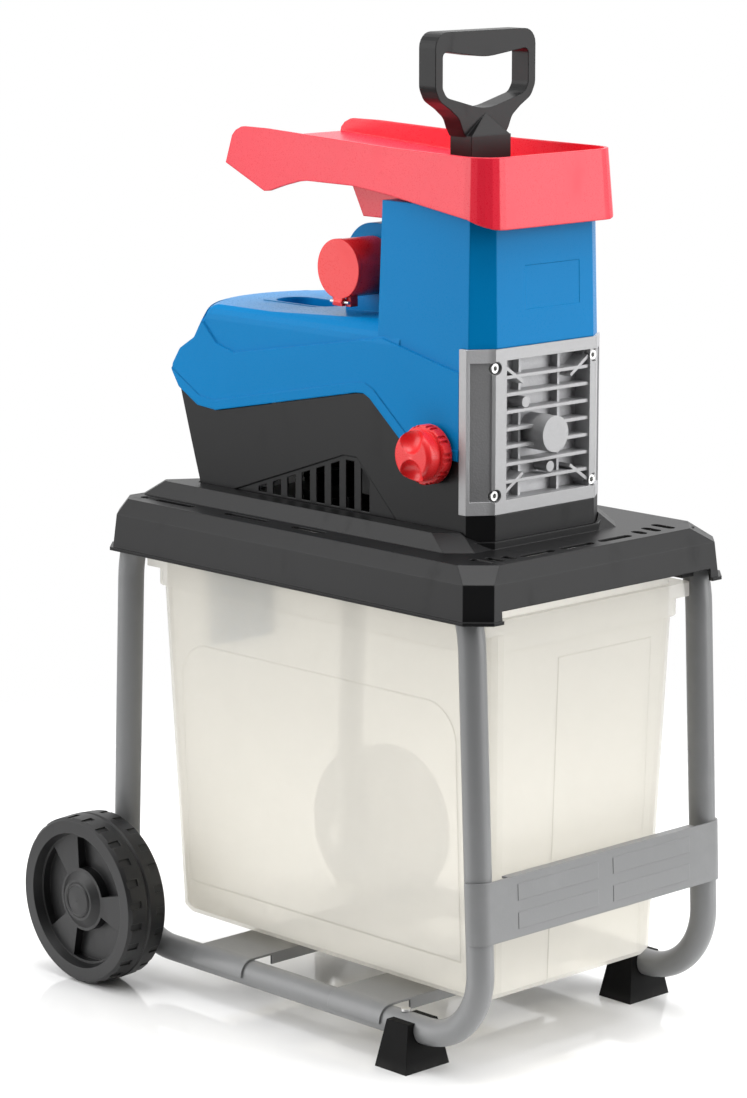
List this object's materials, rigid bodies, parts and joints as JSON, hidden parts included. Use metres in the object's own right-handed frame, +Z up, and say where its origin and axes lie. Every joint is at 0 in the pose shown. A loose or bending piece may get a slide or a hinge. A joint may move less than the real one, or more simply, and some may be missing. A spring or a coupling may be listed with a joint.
{
  "type": "wood chipper",
  "caption": "Electric garden wood chipper with a hooded motor casing, sloping feed hopper with plunger, ribbed drum cover, wheeled tube stand and slide-out collection box.",
  "frame": {"origin": "on the floor, under the middle of the part's bounding box", "axes": "+Z up; -X towards the wheels, where branches go in; +X towards the feet and the ribbed drum cover; -Y the side with the knob and the mains inlet"},
  "size_m": [0.5812, 0.432, 0.9248],
  "materials": {
    "frame_paint": "satin grey powder coat on steel tube and sheet",
    "foot_rubber": "matte black rubber",
    "wheel_plastic": "satin black moulded plastic with a moulded tread",
    "fastener_steel": "zinc-plated steel",
    "black_plastic": "fine-grained black plastic",
    "box_plastic": "frosted translucent plastic",
    "blue_plastic": "semi-gloss blue plastic",
    "red_plastic": "semi-gloss red plastic",
    "green_plastic": "semi-gloss green plastic",
    "cast_aluminium": "as-cast aluminium with machined edges",
    "tool_steel": "ground and hardened steel",
    "bearing_steel": "ground bearing steel",
    "stator_steel": "laminated steel with copper windings",
    "capacitor_plastic": "smooth white plastic can",
    "brass": "bright brass"
  },
  "bodies": {
    "chassis": {"side_frame_left": "frame_paint", "side_frame_right": "frame_paint", "front_brace": "frame_paint", "rear_floor_plate": "frame_paint", "front_floor_plate": "frame_paint", "foot_left": "foot_rubber", "foot_right": "foot_rubber", "foot_screws": "fastener_steel", "axle_bolt_left": "fastener_steel", "axle_bolt_right": "fastener_steel", "axle_spacers": "wheel_plastic", "axle_nuts": "fastener_steel", "base_cover": "black_plastic", "frame_bolts": "fastener_steel", "interlock_switch": "black_plastic", "lower_housing": "black_plastic", "upper_housing": "blue_plastic", "housing_screws": "fastener_steel", "end_casting": "cast_aluminium", "end_casting_screws": "fastener_steel", "chamber_body": "cast_aluminium", "front_bearing": "bearing_steel", "rear_bearing": "bearing_steel", "gearbox_case": "cast_aluminium", "motor_stator": "stator_steel", "motor_bearings": "bearing_steel", "motor_end_shield": "cast_aluminium", "motor_capacitor": "capacitor_plastic", "inlet_socket": "red_plastic", "inlet_pins": "brass", "flap_pin": "fastener_steel", "switch_block": "black_plastic", "feed_shaft": "black_plastic", "hopper": "red_plastic", "hopper_screws": "fastener_steel"},
    "left_wheel": {"wheel_left": "wheel_plastic", "hub_cap_left": "wheel_plastic"},
    "right_wheel": {"wheel_right": "wheel_plastic", "hub_cap_right": "wheel_plastic"},
    "rotor": {"motor_rotor": "tool_steel", "motor_fan": "black_plastic"},
    "idler": {"countershaft": "tool_steel"},
    "drum": {"cutting_drum": "tool_steel", "drum_shaft": "tool_steel", "drum_gear": "tool_steel"},
    "knob": {"adjusting_knob": "red_plastic", "adjusting_screw": "fastener_steel"},
    "jaw": {"pressure_plate": "tool_steel"},
    "plunger": {"plunger_handle": "black_plastic", "plunger_foot": "black_plastic"},
    "box": {"collection_box": "box_plastic"},
    "latch": {"box_latch": "blue_plastic"},
    "flap": {"inlet_flap": "red_plastic"},
    "start": {"start_button": "green_plastic"},
    "stop": {"stop_button": "red_plastic"},
    "selector": {"direction_switch": "black_plastic"}
  },
  "joints": [
    {"name": "left_wheel_spin", "type": "hinge", "parent": "chassis", "child": "left_wheel", "pos_m": [-0.20812, -0.193, 0.0825], "axis": [0, 1, 0], "continuous": true},
    {"name": "right_wheel_spin", "type": "hinge", "parent": "chassis", "child": "right_wheel", "pos_m": [-0.20812, 0.193, 0.0825], "axis": [0, 1, 0], "continuous": true},
    {"name": "rotor_spin", "type": "hinge", "parent": "chassis", "child": "rotor", "pos_m": [0.03222, -0.015, 0.5698], "axis": [1, 0, 0], "continuous": true},
    {"name": "idler_spin", "type": "hinge", "parent": "chassis", "child": "idler", "pos_m": [0.03222, 0.01947, 0.54087], "axis": [1, 0, 0], "continuous": true},
    {"name": "drum_spin", "type": "hinge", "parent": "chassis", "child": "drum", "pos_m": [0.13222, -0.015, 0.5698], "axis": [1, 0, 0], "continuous": true},
    {"name": "knob_turn", "type": "hinge", "parent": "chassis", "child": "knob", "pos_m": [0.16522, -0.101, 0.5538], "axis": [0, 1, 0], "range_deg": [-360, 720]},
    {"name": "jaw_slide", "type": "slide", "parent": "chassis", "child": "jaw", "axis": [0, 1, 0], "range_m": [-0.002, 0.004]},
    {"name": "plunger_lift", "type": "slide", "parent": "chassis", "child": "plunger", "axis": [0, 0, 1], "range_m": [0, 0.16]},
    {"name": "box_slide", "type": "slide", "parent": "chassis", "child": "box", "axis": [-1, 0, 0], "range_m": [0, 0.4]},
    {"name": "latch_slide", "type": "slide", "parent": "box", "child": "latch", "axis": [0, 0, 1], "range_m": [0, 0.014]},
    {"name": "flap_hinge", "type": "hinge", "parent": "chassis", "child": "flap", "pos_m": [0.02922, -0.087, 0.6763], "axis": [1, 0, 0], "range_deg": [0, 95], "stiffness_Nm_per_rad": 0.02, "springref_deg": -34.38},
    {"name": "start_press", "type": "slide", "parent": "chassis", "child": "start", "axis": [1, 0, 0], "range_m": [0, 0.003], "stiffness_N_per_m": 300, "springref_m": -0.002},
    {"name": "stop_press", "type": "slide", "parent": "chassis", "child": "stop", "axis": [1, 0, 0], "range_m": [0, 0.003], "stiffness_N_per_m": 300, "springref_m": -0.002},
    {"name": "selector_turn", "type": "hinge", "parent": "chassis", "child": "selector", "pos_m": [-0.00778, 0.01, 0.6918], "axis": [1, 0, 0], "range_deg": [-45, 45]}
  ],
  "couplings": [
    {"joint": "idler_spin", "follows": "rotor_spin", "ratio": -0.2},
    {"joint": "drum_spin", "follows": "rotor_spin", "ratio": 0.052632},
    {"joint": "knob_turn", "follows": "jaw_slide", "rad_per_m": 3141.6}
  ]
}
